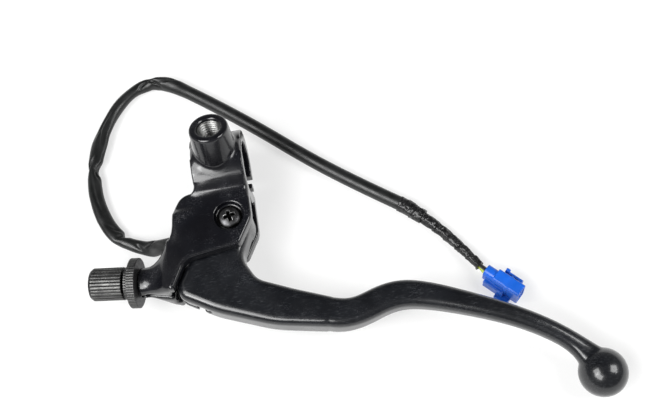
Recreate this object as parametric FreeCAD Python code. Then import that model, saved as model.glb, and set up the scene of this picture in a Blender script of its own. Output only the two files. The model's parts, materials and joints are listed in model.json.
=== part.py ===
"""Motorcycle clutch lever assembly with its perch, cable adjuster and clutch switch harness.

Frame: origin at the centre of the handlebar clamp bore, +X along the handlebar towards
the lever's ball end, +Y rearwards to the rider, +Z up. Every length is in millimetres.
"""

import FreeCAD, Part
import math
import os
from FreeCAD import Vector

Z_AXIS = Vector(0, 0, 1)
Y_AXIS = Vector(0, 1, 0)
X_AXIS = Vector(1, 0, 0)

# ---- driving dimensions -------------------------------------------------------------
# levels
TABLE_Z = -20.6              # the surface the whole assembly lies on
LEVER_Z = -3.5               # middle plane of the lever root
LEVER_THICKNESS = 13.3
EAR_TOP = 9.0
EAR_THICKNESS = 5.6
EAR_BOTTOM = 2 * LEVER_Z - EAR_TOP
EAR_GAP_TOP = EAR_TOP - EAR_THICKNESS
EAR_GAP_BOTTOM = EAR_BOTTOM + EAR_THICKNESS
EAR_EDGE_FILLET = 1.1

# handlebar clamp
BAR_R = 11.1
CLAMP_R = 16.0
CLAMP_LENGTH = 22.0
SLIT_WIDTH = 3.8
SLIT_Y = -1.2
LUG_WIDTH = 15.0
LUG_REACH = 9.5
PINCH_Z = -15.6
PINCH_R = 3.0
PINCH_HEAD_R = 5.0
PINCH_HEAD_HEIGHT = 6.0
PINCH_WASHER_THICKNESS = 1.4
PINCH_TIP_Y = -9.0

# mirror boss, leaning rearwards
BOSS_LEAN = math.radians(18)
BOSS_TOP = Vector(0, 7.4, 26.7)
BOSS_TOP_R = 8.2
BOSS_BASE_R = 9.35
BOSS_LENGTH = 18.0
MIRROR_R = 5.0
MIRROR_DEPTH = 14.0
MIRROR_CHAMFER = 0.7

# lever pivot
PIVOT = Vector(2.0, -25.2, 0)
SHOULDER_R = 4.0
BUSH_R = 5.5
EYE_R = 8.6
PIVOT_HEAD_R = 4.85
COUNTERBORE_R = 6.2
COUNTERBORE_DEPTH = 2.7
NUT_FLATS = 10.0
RUNNING_GAP = 0.05

# lever blade and ball
BALL_R = 9.7
BALL = Vector(138.7, -109.4, TABLE_Z + BALL_R)
DROOP_START = 100.0          # distance from the pivot where the blade starts to drop
ROOT_FILLET = 3.3

# cable: nipple pocket in the lever, slots for the wire
NIPPLE = Vector(-11.0, -47.2, 0)
NIPPLE_R = 4.1
CABLE_SLOT = 2.4
POCKET_ROOF = 3.0

# adjuster: its axis starts at the lock ring's inner face and points into the perch
ADJUSTER_YAW = math.radians(-7.5)
ADJUSTER_START = Vector(-39.7, -43.4, LEVER_Z)
BOSS_R = 6.3
THREAD_R = 4.0
RING_R = 10.5
RING_THICKNESS = 3.4
RING_HUB_R = 7.0
RING_HUB_LENGTH = 2.2
BARREL_R = 6.9
BARREL_LENGTH = 14.0
BARREL_GAP = 0.9
CABLE_CAP_R = 3.1
CABLE_CAP_DEPTH = 7.2
SEAT_POCKET_R = 2.9
SEAT_POCKET_DEPTH = 9.0
SEAT_SETBACK = 0.2           # from the cap's socket to the seat inside the narrower pocket
SEAT_END_GAP = 0.1
STEM_REACH = 12.0
RING_KNURL_PITCH = 1.2
BARREL_KNURL_PITCH = 1.55
BOSS_FACE = 0.35             # gap between the lock ring and the perch

# clutch switch
SWITCH_LOW = Vector(-21.5, -33.4, EAR_GAP_BOTTOM)
SWITCH_HIGH = Vector(-9.5, -20.6, 2.2)
SWITCH_WALL = 1.2
SWITCH_LID = 1.6
SWITCH_SCREW = Vector(-17.6, -24.4, 0)
SWITCH_SCREW_R = 1.5
SCREW_HEAD_R = 3.0
SCREW_HEAD_HEIGHT = 1.9
PILLAR_HEIGHT = 3.4
PLUNGER_R = 2.0
PLUNGER = Vector(-14.0, -36.6, LEVER_Z)
PLUNGER_TRAVEL = 2.4
COLLAR_R = 2.7
COLLAR_FRONT = SWITCH_LOW.y + SWITCH_WALL + PLUNGER_TRAVEL + 0.3
COLLAR_BACK = COLLAR_FRONT + 1.2
SPIGOT_R = 1.0
BRIDGE_THICKNESS = 0.4
SWITCH_REAR = SWITCH_HIGH.y - SWITCH_WALL
SPRING_WIRE_R = 0.25
SPRING_MEAN_R = 1.9
SPRING_TURNS = 5
BOOT_R = 2.4
BOOT_Y = -27.0
BOOT_Z = -6.8

# wiring harness
SLEEVE_R = 3.1
COLLAR_END_R = 2.7
BUNDLE_R = 2.2
WIRE_R = 0.85
SLEEVE_Z = TABLE_Z + SLEEVE_R

# the route of the sleeve, from the switch's grommet to the tape collar
ROUTE = [
    Vector(-23.3, BOOT_Y, BOOT_Z),
    Vector(-29.8, -27.1, -8.6),
    Vector(-37.6, -25.0, SLEEVE_Z),
    Vector(-49.5, -19.6, SLEEVE_Z),
    Vector(-59.0, -5.0, SLEEVE_Z),
    Vector(-62.8, 15.0, SLEEVE_Z),
    Vector(-57.6, 38.6, SLEEVE_Z),
    Vector(-43.6, 57.2, SLEEVE_Z),
    Vector(-27.2, 61.2, SLEEVE_Z),
    Vector(-9.8, 48.8, SLEEVE_Z),
    Vector(14.8, 28.0, SLEEVE_Z),
    Vector(37.6, 6.6, SLEEVE_Z),
    Vector(59.4, -11.2, SLEEVE_Z),
    Vector(75.2, -23.0, SLEEVE_Z),
]

# the route of the taped wires, from the tape collar to the bare leads
BUNDLE_ROUTE = [
    Vector(82.0, -29.6, TABLE_Z + 2.8),
    Vector(88.8, -37.0, TABLE_Z + 2.4),
    Vector(95.4, -46.4, TABLE_Z + 3.0),
    Vector(101.2, -56.2, TABLE_Z + 4.6),
]

# connector, standing on its narrow side
PLUG_START = Vector(103.0, -59.4, 0)
PLUG_YAW = math.radians(-46)
PLUG_HEIGHT = 10.9
PLUG_HALF_WIDTH = 2.9
PLUG_LENGTH = 17.2
PLUG_Z = TABLE_Z + PLUG_HEIGHT / 2
CAVITY_PITCH = 4.8
CAVITY_START = 9.5
SEAL_R = 1.55
SEAL_LENGTH = 4.0

OUT = "parts"
os.makedirs(OUT, exist_ok=True)


# ---- helpers ------------------------------------------------------------------------
def save(shape, node):
    """Write one node after merging needless seams."""
    clean = shape.removeSplitter()
    if not clean.isValid():
        clean = shape
    clean.exportStep(os.path.join(OUT, node + ".step"))
    print(node, "volume", round(clean.Volume, 1), "solids", len(clean.Solids))


def rounded_wire(corners, z):
    """A closed outline at height z; each corner is (x, y, radius)."""
    count = len(corners)
    joins = []
    for i in range(count):
        x, y, radius = corners[i]
        here = Vector(x, y, z)
        before = Vector(corners[i - 1][0], corners[i - 1][1], z)
        after = Vector(corners[(i + 1) % count][0], corners[(i + 1) % count][1], z)
        to_before = (before - here).normalize()
        to_after = (after - here).normalize()
        if radius == 0:
            joins.append((here, None, here))
            continue
        half = to_before.getAngle(to_after) / 2
        reach = radius / math.tan(half)
        middle = (to_before + to_after).normalize()
        centre = here + middle * (radius / math.sin(half))
        joins.append((here + to_before * reach, centre - middle * radius, here + to_after * reach))
    edges = []
    for i in range(count):
        start, on_arc, end = joins[i]
        if on_arc is not None:
            edges.append(Part.Arc(start, on_arc, end).toShape())
        following = joins[(i + 1) % count][0]
        if end.distanceToPoint(following) > 1e-6:
            edges.append(Part.LineSegment(end, following).toShape())
    return Part.Wire(edges)


def plate(corners, low, high):
    """A vertical-sided plate between two heights."""
    return Part.Face(rounded_wire(corners, low)).extrude(Vector(0, 0, high - low))


def box(low, high):
    size = high - low
    return Part.makeBox(size.x, size.y, size.z, low)


def cylinder(radius, start, end):
    return Part.makeCylinder(radius, (end - start).Length, start, end - start)


def cone(radius_start, radius_end, start, end):
    return Part.makeCone(radius_start, radius_end, (end - start).Length, start, end - start)


def level(point, z):
    return Vector(point.x, point.y, z)


def fillet_where(solid, radius, wanted):
    """Round the edges whose middle point satisfies wanted()."""
    edges = [e for e in solid.Edges if wanted(e.CenterOfMass, e)]
    return solid.makeFillet(radius, edges)


def rounded_section(centre, across, half_width, half_height, corner):
    """An upright rounded rectangle round centre, with its width along across."""
    corner = min(corner, 0.96 * half_width, 0.96 * half_height)
    bend = corner * (1 - math.sqrt(0.5))

    def at(side, up):
        return centre + across * side + Z_AXIS * up

    arcs = []
    for sx, sy in ((1, 1), (-1, 1), (-1, -1), (1, -1)):
        flank = at(sx * half_width, sy * (half_height - corner))
        middle = at(sx * (half_width - bend), sy * (half_height - bend))
        crown = at(sx * (half_width - corner), sy * half_height)
        arcs.append((flank, middle, crown) if sx * sy > 0 else (crown, middle, flank))
    edges = []
    for k in range(4):
        edges.append(Part.Arc(*arcs[k]).toShape())
        edges.append(Part.LineSegment(arcs[k][2], arcs[(k + 1) % 4][0]).toShape())
    return Part.Wire(edges)


def hex_prism(flats, start, height):
    """A hexagonal prism standing on start, along +Z."""
    corner = flats / math.sqrt(3)
    points = []
    for i in range(7):
        turn = math.radians(60 * i)
        points.append(start + Vector(corner * math.cos(turn), corner * math.sin(turn), 0))
    return Part.Face(Part.makePolygon(points)).extrude(Z_AXIS * height)


# ---- adjuster frame -----------------------------------------------------------------
INWARD = Vector(math.cos(ADJUSTER_YAW), math.sin(ADJUSTER_YAW), 0)
ACROSS = Vector(-math.sin(ADJUSTER_YAW), math.cos(ADJUSTER_YAW), 0)


def on_adjuster(along, across=0.0, up=0.0):
    """A point given along the adjuster axis, across it (rearwards) and above it."""
    return ADJUSTER_START + INWARD * along + ACROSS * across + Z_AXIS * up


def adjuster_block(low, high):
    """A block in the adjuster's own directions: along, across and up."""
    block = Part.makeBox(high[0] - low[0], high[1] - low[1], high[2] - low[2])
    block.Placement = FreeCAD.Placement(
        on_adjuster(low[0], low[1], low[2]),
        FreeCAD.Rotation(Z_AXIS, math.degrees(ADJUSTER_YAW)))
    return block


# ---- perch --------------------------------------------------------------------------
EAR_OUTLINE = [
    (11.0, -8.0, 0),
    (11.3, -27.0, 8.5),
    (5.2, -37.8, 1.6),
    (-17.8, -40.9, 7.0),
    (-24.2, -52.6, 0.8),
    (-28.0, -51.6, 0.8),
    (-25.6, -34.0, 3.0),
    (-22.8, -28.0, 2.0),
    (-18.2, -17.5, 6.0),
    (-14.5, -12.2, 3.0),
    (-11.0, -11.6, 0),
    (-11.0, -8.0, 0),
]


def ear(low, high):
    """One of the two plates that hold the pivot bolt."""
    solid = plate(EAR_OUTLINE, low, high)
    outer = EAR_TOP if high == EAR_TOP else EAR_BOTTOM
    rear_limit = -12.0

    def on_outer_rim(middle, edge):
        return abs(middle.z - outer) < 0.01 and middle.y < rear_limit

    return fillet_where(solid, EAR_EDGE_FILLET, on_outer_rim)


# the neck between the adjuster's boss and the ears: distance along, front edge, rear edge,
# half height and corner radius
NECK = [
    (3.0, -6.1, 6.1, 6.1, 6.1),
    (5.5, -6.3, 6.7, 6.8, 5.8),
    (7.5, -6.5, 7.7, 8.0, 5.0),
    (9.3, -6.7, 9.2, 9.4, 4.2),
    (10.5, -6.8, 10.8, 10.5, 3.6),
    (11.6, -6.9, 12.8, 11.4, 3.0),
    (12.8, -7.1, 15.2, 12.2, 2.4),
    (14.8, -7.3, 15.2, 12.2, 2.0),
]


def adjuster_neck():
    """The boss for the adjuster, sweeping out into both ears."""
    sections = []
    for along, front, rear, half_height, corner in NECK:
        centre = on_adjuster(along, (front + rear) / 2)
        sections.append(rounded_section(centre, ACROSS, (rear - front) / 2, half_height, corner))
    boss_end = NECK[1][0]
    tube = cylinder(BOSS_R, on_adjuster(BOSS_FACE), on_adjuster(boss_end))
    neck = tube.fuse(Part.makeLoft(sections, True, True))
    gap_half = (EAR_GAP_TOP - EAR_GAP_BOTTOM) / 2
    harness_way = adjuster_block((10.0, 9.2, -gap_half), (20.0, 20.0, gap_half))
    return neck.cut(harness_way)


def mirror_boss():
    lean = Vector(0, math.sin(BOSS_LEAN), math.cos(BOSS_LEAN))
    base = BOSS_TOP - lean * BOSS_LENGTH
    boss = cone(BOSS_BASE_R, BOSS_TOP_R, base, BOSS_TOP)
    top_rim_fillet = 0.9

    def on_top_rim(middle, edge):
        return middle.distanceToPoint(BOSS_TOP) < 0.01 and len(edge.Vertexes) == 1

    return fillet_where(boss, top_rim_fillet, on_top_rim)


def mirror_hole():
    lean = Vector(0, math.sin(BOSS_LEAN), math.cos(BOSS_LEAN))
    floor = BOSS_TOP - lean * MIRROR_DEPTH
    hole = cylinder(MIRROR_R, floor, BOSS_TOP + lean)
    mouth = cone(MIRROR_R, MIRROR_R + 2 * MIRROR_CHAMFER,
                 BOSS_TOP - lean * MIRROR_CHAMFER, BOSS_TOP + lean * MIRROR_CHAMFER)
    return hole.fuse(mouth)


def clamp_lug():
    """The block under the ring that the pinch bolt draws together."""
    low = Vector(-LUG_WIDTH / 2, -LUG_REACH, TABLE_Z)
    high = Vector(LUG_WIDTH / 2, LUG_REACH, -8.0)
    block = box(low, high)

    def on_bottom(middle, edge):
        return abs(middle.z - TABLE_Z) < 0.01

    return fillet_where(block, 1.5, on_bottom)


def make_perch():
    half = CLAMP_LENGTH / 2
    ring = cylinder(CLAMP_R, X_AXIS * -half, X_AXIS * half)
    web_right = 8.0
    web_front = PIVOT.y + EYE_R + 0.7
    over = 1.0
    web = box(Vector(-half, web_front, EAR_BOTTOM + 1), Vector(web_right, -6.0, EAR_TOP - 1))
    body = ring.fuse([web, ear(EAR_GAP_TOP, EAR_TOP), ear(EAR_BOTTOM, EAR_GAP_BOTTOM),
                      adjuster_neck(), mirror_boss(), clamp_lug()])
    body = body.removeSplitter()

    bore = cylinder(BAR_R, X_AXIS * (-half - over), X_AXIS * (half + over))
    slit = box(Vector(-half - over, SLIT_Y - SLIT_WIDTH / 2, TABLE_Z - over),
               Vector(half + over, SLIT_Y + SLIT_WIDTH / 2, -BAR_R + over))
    relief = box(Vector(web_right + 0.4, -8.4, TABLE_Z), Vector(half + over, -5.6, -7.0))
    pinch_clear = cylinder(PINCH_R + 0.3, Vector(0, SLIT_Y, PINCH_Z),
                           Vector(0, LUG_REACH + over, PINCH_Z))
    pinch_thread = cylinder(PINCH_R + RUNNING_GAP, Vector(0, PINCH_TIP_Y - 0.5, PINCH_Z),
                            Vector(0, SLIT_Y, PINCH_Z))
    spot_face = cylinder(PINCH_HEAD_R + 0.5, Vector(0, LUG_REACH, PINCH_Z),
                         Vector(0, CLAMP_R + over, PINCH_Z))
    shoulder = cylinder(SHOULDER_R + RUNNING_GAP, level(PIVOT, EAR_GAP_TOP - over),
                        level(PIVOT, EAR_TOP + over))
    counterbore = cylinder(COUNTERBORE_R, level(PIVOT, EAR_TOP - COUNTERBORE_DEPTH),
                           level(PIVOT, EAR_TOP + over))
    thread_way = cylinder(PINCH_R + 0.2, level(PIVOT, EAR_BOTTOM - over),
                          level(PIVOT, EAR_GAP_BOTTOM + over))
    neck_end = NECK[-1][0]
    adjuster_bore = cylinder(THREAD_R, on_adjuster(0), on_adjuster(neck_end + over))
    cable_slot = adjuster_block((0, -12, -CABLE_SLOT / 2), (neck_end + 5, 0, CABLE_SLOT / 2))
    screw_hole = cylinder(SWITCH_SCREW_R + 0.25, level(SWITCH_SCREW, EAR_BOTTOM - over),
                          level(SWITCH_SCREW, EAR_GAP_BOTTOM + over))
    tools = [bore, slit, relief, pinch_clear, pinch_thread, spot_face, shoulder, counterbore,
             thread_way, adjuster_bore, cable_slot, mirror_hole(), screw_hole]
    return body.cut(tools)


def make_pinch_bolt():
    seat = LUG_REACH + PINCH_WASHER_THICKNESS
    shank = cylinder(PINCH_R, Vector(0, PINCH_TIP_Y, PINCH_Z), Vector(0, seat, PINCH_Z))
    head = cylinder(PINCH_HEAD_R, Vector(0, seat, PINCH_Z),
                    Vector(0, seat + PINCH_HEAD_HEIGHT, PINCH_Z))
    socket = hex_prism(5.0, Vector(0, 0, 0), 3.2)
    socket.rotate(Vector(0, 0, 0), X_AXIS, 90)
    socket.translate(Vector(0, seat + PINCH_HEAD_HEIGHT + 0.1, PINCH_Z))
    rim = seat + PINCH_HEAD_HEIGHT

    def on_head_rim(middle, edge):
        return abs(middle.y - rim) < 0.01

    head = fillet_where(head, 0.6, on_head_rim)
    return shank.fuse(head).cut(socket)


def make_pinch_washer():
    start = Vector(0, LUG_REACH, PINCH_Z)
    end = Vector(0, LUG_REACH + PINCH_WASHER_THICKNESS, PINCH_Z)
    return cylinder(PINCH_HEAD_R, start, end).cut(cylinder(PINCH_R + 0.15, start, end))


# ---- pivot hardware -----------------------------------------------------------------
def make_pivot_bolt():
    seat = EAR_TOP - COUNTERBORE_DEPTH
    head_height = 2.5
    dome_r = 9.5
    head = cylinder(PIVOT_HEAD_R, level(PIVOT, seat), level(PIVOT, seat + head_height))
    dome = Part.makeSphere(dome_r, level(PIVOT, seat + head_height - dome_r))
    head = head.common(dome)
    shoulder = cylinder(SHOULDER_R, level(PIVOT, EAR_GAP_BOTTOM), level(PIVOT, seat))
    thread = cylinder(PINCH_R - RUNNING_GAP, level(PIVOT, TABLE_Z + 0.2),
                      level(PIVOT, EAR_GAP_BOTTOM))
    bolt = head.fuse([shoulder, thread])
    return bolt.cut(cross_recess(level(PIVOT, seat + head_height), 1.0))


def cross_recess(top, scale):
    """A cross-shaped driver recess that narrows downwards, at full size for the pivot bolt."""
    depth = 2.1 * scale
    above = 0.1
    twist = 12
    arms = []
    for turn in (0, 90):
        wires = []
        for half_length, half_width, z in ((1.2, 0.55, -depth), (3.0, 0.8, above)):
            x = half_length * scale
            y = half_width * scale
            corners = [Vector(-x, -y, z), Vector(x, -y, z), Vector(x, y, z), Vector(-x, y, z)]
            wires.append(Part.makePolygon(corners + corners[:1]))
        arm = Part.makeLoft(wires, True, True)
        arm.rotate(Vector(0, 0, 0), Z_AXIS, turn + twist)
        arm.translate(top)
        arms.append(arm)
    return arms[0].fuse(arms[1])


def make_pivot_bush():
    low = LEVER_Z - LEVER_THICKNESS / 2 - 0.1
    high = LEVER_Z + LEVER_THICKNESS / 2 + 0.1
    outer = cylinder(BUSH_R, level(PIVOT, low), level(PIVOT, high))
    inner = cylinder(SHOULDER_R + RUNNING_GAP, level(PIVOT, low), level(PIVOT, high))
    return outer.cut(inner)


def make_pivot_nut():
    height = EAR_BOTTOM - TABLE_Z
    chamfer = 0.7
    nut = hex_prism(NUT_FLATS, level(PIVOT, TABLE_Z), height)
    hole = cylinder(PINCH_R, level(PIVOT, TABLE_Z), level(PIVOT, EAR_BOTTOM))
    corner_r = NUT_FLATS / math.sqrt(3)
    crown = cone(corner_r - chamfer, corner_r + height, level(PIVOT, TABLE_Z),
                 level(PIVOT, EAR_BOTTOM + chamfer))
    return nut.common(crown).cut(hole)


# ---- lever --------------------------------------------------------------------------
ROOT_OUTLINE = [
    (10.5, -26.5, 0),
    (4.3, -41.5, 8.0),
    (9.6, -51.6, 9.0),
    (24.0, -58.2, 40.0),
    (38.6, -64.2, 0),
    (34.7, -76.3, 0),
    (14.0, -72.1, 60.0),
    (-8.6, -62.9, 45.0),
    (-22.6, -54.6, 4.4),
    (-23.7, -48.8, 4.0),
    (-20.2, -42.6, 3.8),
    (-17.2, -37.0, 1.5),
    (-6.6, -37.0, 2.5),
    (-6.6, -26.5, 0),
]

# centre of the blade, its width and its height, from inside the root to inside the ball
BLADE = [
    (31.9, -68.7, 11.4, 12.0),
    (37.6, -70.5, 12.4, 13.0),
    (44.0, -71.6, 12.0, 12.4),
    (51.0, -70.6, 11.6, 11.7),
    (58.0, -68.4, 11.6, 11.2),
    (66.5, -67.3, 11.4, 10.7),
    (75.5, -69.0, 10.8, 10.2),
    (88.0, -73.6, 9.6, 9.8),
    (100.5, -79.0, 8.6, 9.5),
    (111.0, -84.1, 8.0, 9.2),
    (121.5, -90.3, 7.6, 9.0),
    (129.6, -96.6, 8.0, 8.8),
    (134.6, -102.4, 10.4, 9.6),
    (137.4, -107.0, 14.0, 14.0),
]
BLADE_ROUNDING = 0.8         # how much rounder the blade's corners are at the ball


def blade_section(i):
    """A rounded rectangle across the blade at station i."""
    x, y, width, height = BLADE[i]
    before = BLADE[max(i - 1, 0)]
    after = BLADE[min(i + 1, len(BLADE) - 1)]
    along = Vector(after[0] - before[0], after[1] - before[1], 0).normalize()
    across = Vector(-along.y, along.x, 0)
    reach = max(0.0, Vector(x - PIVOT.x, y - PIVOT.y, 0).Length - DROOP_START)
    full = Vector(BALL.x - PIVOT.x, BALL.y - PIVOT.y, 0).Length - DROOP_START
    z = LEVER_Z + (BALL.z - LEVER_Z) * (reach / full) ** 2
    corner = ROOT_FILLET + BLADE_ROUNDING * i / (len(BLADE) - 1)
    return rounded_section(Vector(x, y, z), across, width / 2, height / 2, corner)


def make_lever():
    low = LEVER_Z - LEVER_THICKNESS / 2
    high = LEVER_Z + LEVER_THICKNESS / 2
    root = plate(ROOT_OUTLINE, low, high)
    root = root.fuse(cylinder(EYE_R, level(PIVOT, low), level(PIVOT, high))).removeSplitter()
    blade_face = 36.0

    def on_front_or_back(middle, edge):
        flat = abs(middle.z - low) < 0.01 or abs(middle.z - high) < 0.01
        return flat and middle.y < -43.0 and middle.x < blade_face

    root = fillet_where(root, ROOT_FILLET, on_front_or_back)
    blade = Part.makeLoft([blade_section(i) for i in range(len(BLADE))], True, False)
    ball = Part.makeSphere(BALL_R, BALL)
    lever = root.fuse([blade, ball])

    eye = cylinder(BUSH_R, level(PIVOT, low - 1), level(PIVOT, high + 1))
    pocket = cylinder(NIPPLE_R, level(NIPPLE, low - 1), level(NIPPLE, high - POCKET_ROOF))
    wire_slot = box(Vector(-24.0, -62.0, LEVER_Z - CABLE_SLOT / 2),
                    Vector(NIPPLE.x, NIPPLE.y + CABLE_SLOT / 2 + 2.6, LEVER_Z + CABLE_SLOT / 2))
    entry = box(Vector(NIPPLE.x - 5.4, -64.0, low - 1),
                Vector(NIPPLE.x - 3.0, NIPPLE.y - 2.0, LEVER_Z))
    return lever.cut([eye, pocket, wire_slot, entry])


# ---- adjuster -----------------------------------------------------------------------
def knurled(radius, start, end, depth, pitch):
    """A cylinder along the adjuster axis with straight V grooves cut in its skin."""
    solid = cylinder(radius, on_adjuster(start), on_adjuster(end))
    teeth = round(2 * math.pi * radius / pitch)
    half = math.pi * radius / teeth * 0.55
    grooves = []
    for i in range(teeth):
        turn = 2 * math.pi * i / teeth
        across = math.cos(turn)
        up = math.sin(turn)
        tip = on_adjuster(start, across * (radius - depth), up * (radius - depth))
        left = on_adjuster(start, across * (radius + 0.2) - up * half,
                           up * (radius + 0.2) + across * half)
        right = on_adjuster(start, across * (radius + 0.2) + up * half,
                            up * (radius + 0.2) - across * half)
        face = Part.Face(Part.makePolygon([tip, left, right, tip]))
        grooves.append(face.extrude(INWARD * (end - start)))
    return solid.cut(grooves)


def underside_slot(start, end):
    """The slot that lets the cable drop into the ring and the barrel, facing down."""
    return adjuster_block((start, -CABLE_SLOT / 2, -RING_R - 1), (end, CABLE_SLOT / 2, 0))


def make_lock_ring():
    outer = -RING_THICKNESS
    disc = knurled(RING_R, outer, 0, 0.45, RING_KNURL_PITCH)
    hub = knurled(RING_HUB_R, outer - RING_HUB_LENGTH, outer, 0.4, RING_KNURL_PITCH)
    bore = cylinder(THREAD_R + RUNNING_GAP, on_adjuster(outer - RING_HUB_LENGTH - 1),
                    on_adjuster(1))
    return disc.fuse(hub).cut([bore, underside_slot(outer - RING_HUB_LENGTH - 1, 1)])


KNOB_IN = -RING_THICKNESS - RING_HUB_LENGTH - BARREL_GAP
KNOB_OUT = KNOB_IN - BARREL_LENGTH


def make_adjuster_barrel():
    crown_length = 1.0
    rim = KNOB_OUT + crown_length
    knob = knurled(BARREL_R, rim, KNOB_IN, 0.45, BARREL_KNURL_PITCH)
    crown = cone(BARREL_R - 0.9, BARREL_R - 0.3, on_adjuster(KNOB_OUT), on_adjuster(rim))
    stem = cylinder(THREAD_R - RUNNING_GAP, on_adjuster(KNOB_IN), on_adjuster(STEM_REACH))
    barrel = knob.fuse([crown, stem])
    cable_cap = cylinder(CABLE_CAP_R, on_adjuster(KNOB_OUT - 1),
                         on_adjuster(KNOB_OUT + CABLE_CAP_DEPTH))
    seat_pocket = cylinder(SEAT_POCKET_R, on_adjuster(KNOB_OUT),
                           on_adjuster(KNOB_OUT + SEAT_POCKET_DEPTH))
    cable_way = cylinder(CABLE_SLOT / 2, on_adjuster(KNOB_OUT), on_adjuster(STEM_REACH + 1))
    slot = underside_slot(KNOB_OUT - 1, STEM_REACH + 1)
    return barrel.cut([cable_cap, seat_pocket, cable_way, slot])


def make_cable_seat():
    """The small ring in the barrel that the cable's end cap presses on."""
    start = on_adjuster(KNOB_OUT + CABLE_CAP_DEPTH + SEAT_SETBACK)
    end = on_adjuster(KNOB_OUT + SEAT_POCKET_DEPTH - SEAT_END_GAP)
    ring = cylinder(SEAT_POCKET_R - RUNNING_GAP, start, end)
    return ring.cut(cylinder(CABLE_SLOT / 2, start, end))


# ---- clutch switch ------------------------------------------------------------------
def make_switch_housing():
    outer = box(SWITCH_LOW, SWITCH_HIGH - Z_AXIS * SWITCH_LID)
    floor = SWITCH_WALL * 1.5
    inner_low = SWITCH_LOW + Vector(SWITCH_WALL, SWITCH_WALL, floor)
    inner = box(inner_low, SWITCH_HIGH - Vector(SWITCH_WALL, SWITCH_WALL, 0))
    foot = level(SWITCH_SCREW, SWITCH_LOW.z)
    pillar = cylinder(SCREW_HEAD_R, foot, foot + Z_AXIS * PILLAR_HEIGHT).common(outer)
    shell = outer.cut(inner).fuse(pillar)
    screw = cylinder(SWITCH_SCREW_R, foot - Z_AXIS, foot + Z_AXIS * (PILLAR_HEIGHT - 0.2))
    front = Vector(PLUNGER.x, SWITCH_LOW.y, PLUNGER.z)
    plunger_way = cylinder(PLUNGER_R + RUNNING_GAP, front - Y_AXIS,
                           front + Y_AXIS * (SWITCH_WALL + 1))
    side = Vector(SWITCH_LOW.x, BOOT_Y, BOOT_Z)
    wire_way = cylinder(BOOT_R, side - X_AXIS, side + X_AXIS * (SWITCH_WALL + 1))
    return shell.cut([screw, plunger_way, wire_way])


def make_switch_lid():
    low = Vector(SWITCH_LOW.x, SWITCH_LOW.y, SWITCH_HIGH.z - SWITCH_LID)
    lid = box(low, SWITCH_HIGH)
    edge_fillet = 0.6

    def on_top(middle, edge):
        return abs(middle.z - SWITCH_HIGH.z) < 0.01

    return fillet_where(lid, edge_fillet, on_top)


def on_plunger(y):
    """A point on the plunger's axis."""
    return Vector(PLUNGER.x, y, PLUNGER.z)


def make_switch_plunger():
    """The pin that the lever's heel holds in; its collar keeps it inside the housing."""
    nose_fillet = 0.8
    spigot_length = 1.4
    pin = cylinder(PLUNGER_R, PLUNGER, on_plunger(COLLAR_FRONT))
    collar = cylinder(COLLAR_R, on_plunger(COLLAR_FRONT), on_plunger(COLLAR_BACK))
    spigot = cylinder(SPIGOT_R, on_plunger(COLLAR_BACK), on_plunger(COLLAR_BACK + spigot_length))

    def on_nose(middle, edge):
        return abs(middle.y - PLUNGER.y) < 0.01

    return fillet_where(pin, nose_fillet, on_nose).fuse([collar, spigot])


def make_plunger_spring():
    """A short coil spring between the contact bridge and the rear wall."""
    clear = SPRING_WIRE_R + 0.05
    start = COLLAR_BACK + BRIDGE_THICKNESS + clear
    length = SWITCH_REAR - clear - start
    helix = Part.makeHelix(length / SPRING_TURNS, length, SPRING_MEAN_R)
    ring = Part.Wire(Part.makeCircle(SPRING_WIRE_R, Vector(SPRING_MEAN_R, 0, 0), Y_AXIS))
    coil = Part.Wire(helix).makePipeShell([ring], True, False)
    coil.rotate(Vector(0, 0, 0), X_AXIS, -90)
    coil.translate(on_plunger(start))
    return coil


CONTACT_OFFSET = 2.6         # of each fixed contact above and below the plunger's axis
CONTACT_HALF = 0.8


def make_contact_bridge():
    """The brass blade on the plunger's spigot that joins the two fixed contacts."""
    arm_reach = 4.6
    half = CONTACT_OFFSET + CONTACT_HALF
    front = on_plunger(COLLAR_BACK)
    back = on_plunger(COLLAR_BACK + BRIDGE_THICKNESS)
    disc = cylinder(1.5 * SPIGOT_R, front, back)
    arm = box(front - Vector(arm_reach, 0, half), back + Z_AXIS * half)
    return disc.fuse(arm).cut(cylinder(SPIGOT_R, front, back))


def make_switch_contacts():
    """Two fixed brass strips from just behind the bridge to the rear wall."""
    left = SWITCH_LOW.x + SWITCH_WALL + 1.0
    right = PLUNGER.x - 3.6
    front = COLLAR_BACK + BRIDGE_THICKNESS + 0.1
    strips = []
    for side in (-1, 1):
        z = PLUNGER.z + side * CONTACT_OFFSET
        strips.append(box(Vector(left, front, z - CONTACT_HALF),
                          Vector(right, SWITCH_REAR, z + CONTACT_HALF)))
    return Part.makeCompound(strips)


def make_switch_screw():
    head_low = EAR_BOTTOM - SCREW_HEAD_HEIGHT
    head = cylinder(SCREW_HEAD_R, level(SWITCH_SCREW, head_low), level(SWITCH_SCREW, EAR_BOTTOM))
    shank = cylinder(SWITCH_SCREW_R, level(SWITCH_SCREW, EAR_BOTTOM),
                     level(SWITCH_SCREW, SWITCH_LOW.z + PILLAR_HEIGHT - 0.4))
    recess = cross_recess(Vector(0, 0, 0), 0.6)
    recess.rotate(Vector(0, 0, 0), X_AXIS, 180)
    recess.translate(level(SWITCH_SCREW, head_low))
    return head.cut(recess).fuse(shank)


def make_cable_boot():
    """The rubber grommet where the harness leaves the switch."""
    mouth = Vector(SWITCH_LOW.x, BOOT_Y, BOOT_Z)
    inside = cylinder(BOOT_R, mouth, mouth + X_AXIS * SWITCH_WALL)
    return inside.fuse(cone(3.6, SLEEVE_R, mouth, ROUTE[0]))


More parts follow.
